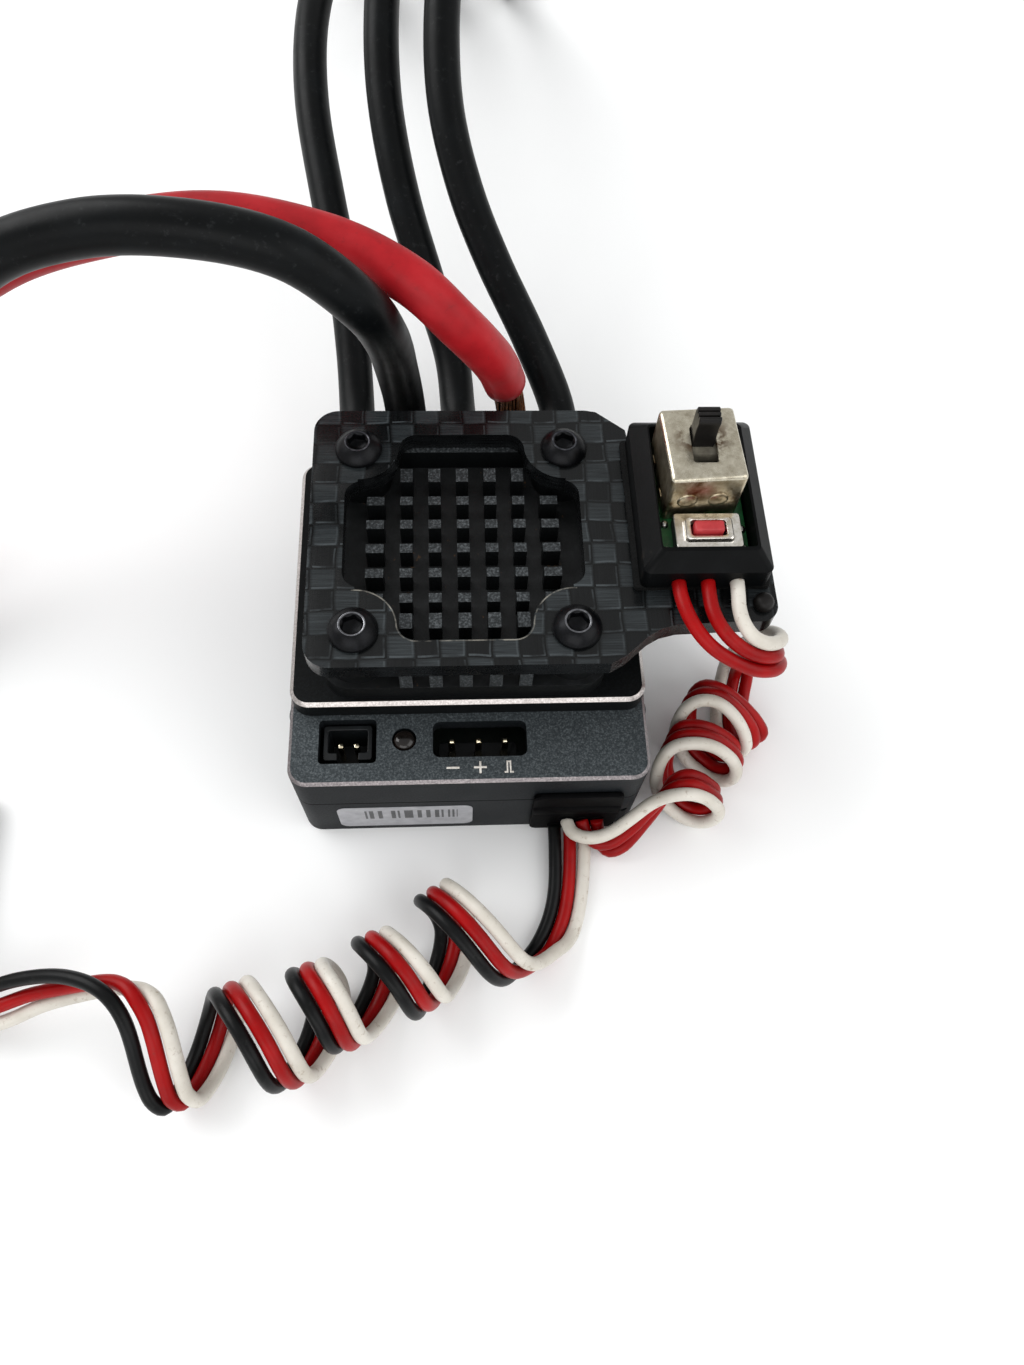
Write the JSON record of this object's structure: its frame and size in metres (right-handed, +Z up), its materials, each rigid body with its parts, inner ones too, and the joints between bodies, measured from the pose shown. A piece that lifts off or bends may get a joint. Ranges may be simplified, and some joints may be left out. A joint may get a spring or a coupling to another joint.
{
  "type": "brushless motor speed controller",
  "caption": "Square metal-cased motor speed controller with pin heat sink, carbon fan plate, side switch module, thick power wires and curled thin leads.",
  "frame": {"origin": "centre of the underside of the case, which is stuck down with tape", "axes": "+Z up out of the underside, +Y towards the side where the motor and battery wires leave, +X towards the switch module on the plate's arm"},
  "size_m": [0.1018, 0.1976, 0.045],
  "materials": {
    "case_lower": "satin",
    "case_upper": "matte",
    "sink": "satin",
    "carbon": "gloss",
    "black_screw": "satin",
    "case_screw": "satin",
    "black_plastic": "satin",
    "pcb_green": "satin",
    "chip": "matte",
    "pad": "matte",
    "ceramic": "satin",
    "gold": "satin",
    "copper": "satin",
    "solder": "satin",
    "mark": "matte",
    "paper": "satin",
    "rubber_black": "matte",
    "silicone_black": "satin",
    "silicone_red": "satin",
    "lead_red": "gloss",
    "lead_white": "gloss",
    "sleeve_red": "satin",
    "sleeve_black": "satin",
    "foam": "matte",
    "switch_steel": "satin",
    "phenolic": "matte",
    "button_red": "satin",
    "led_lens": "gloss",
    "dome_steel": "satin"
  },
  "bodies": {
    "controller": {"lower_case": "case_lower", "upper_case": "case_upper", "heat_sink": "sink", "carbon_plate": "carbon", "plate_screws": "black_screw", "arm_peg": "black_plastic", "case_screws": "case_screw", "control_board": "pcb_green", "power_board": "pcb_green", "board_link": "chip", "mosfets": "chip", "thermal_pad": "pad", "microcontroller": "chip", "bec_inductor": "chip", "ceramic_caps": "ceramic", "fan_socket_shell": "black_plastic", "fan_socket_pins": "gold", "header_base": "black_plastic", "header_pins": "gold", "status_led": "led_lens", "port_marks": "mark", "label": "paper", "cable_grommet": "rubber_black", "solder_posts": "gold", "wire_strands": "copper", "solder_joints": "solder", "motor_wire_a": "silicone_black", "motor_wire_b": "silicone_black", "motor_wire_c": "silicone_black", "battery_wire_negative": "silicone_black", "battery_wire_positive": "silicone_red", "motor_plug_pins": "gold", "motor_plug_sleeves": "sleeve_black", "battery_plug_pins": "gold", "battery_plug_sleeves": "sleeve_red", "receiver_lead": "lead_red", "receiver_lead_ends": "lead_white", "receiver_lead_tail": "lead_white", "receiver_plug": "black_plastic", "receiver_contacts": "gold", "switch_lead": "lead_red", "switch_lead_top": "lead_red", "switch_lead_foot": "lead_red", "foam_tape": "foam", "switch_housing": "black_plastic", "switch_board": "pcb_green", "slide_switch_base": "phenolic", "slide_switch_can": "switch_steel", "slide_switch_contacts": "gold", "tact_base": "black_plastic", "tact_dome": "dome_steel", "tact_cover": "switch_steel"},
    "lever": {"switch_lever": "black_plastic"},
    "button": {"tact_button": "button_red"}
  },
  "joints": [
    {"name": "lever_slide", "type": "slide", "parent": "controller", "child": "lever", "axis": [0, -1, 0], "range_m": [0, 0.002]},
    {"name": "button_press", "type": "slide", "parent": "controller", "child": "button", "axis": [0, 0, -1], "range_m": [0, 0.00025], "stiffness_N_per_m": 400, "springref_m": -0.00005}
  ]
}
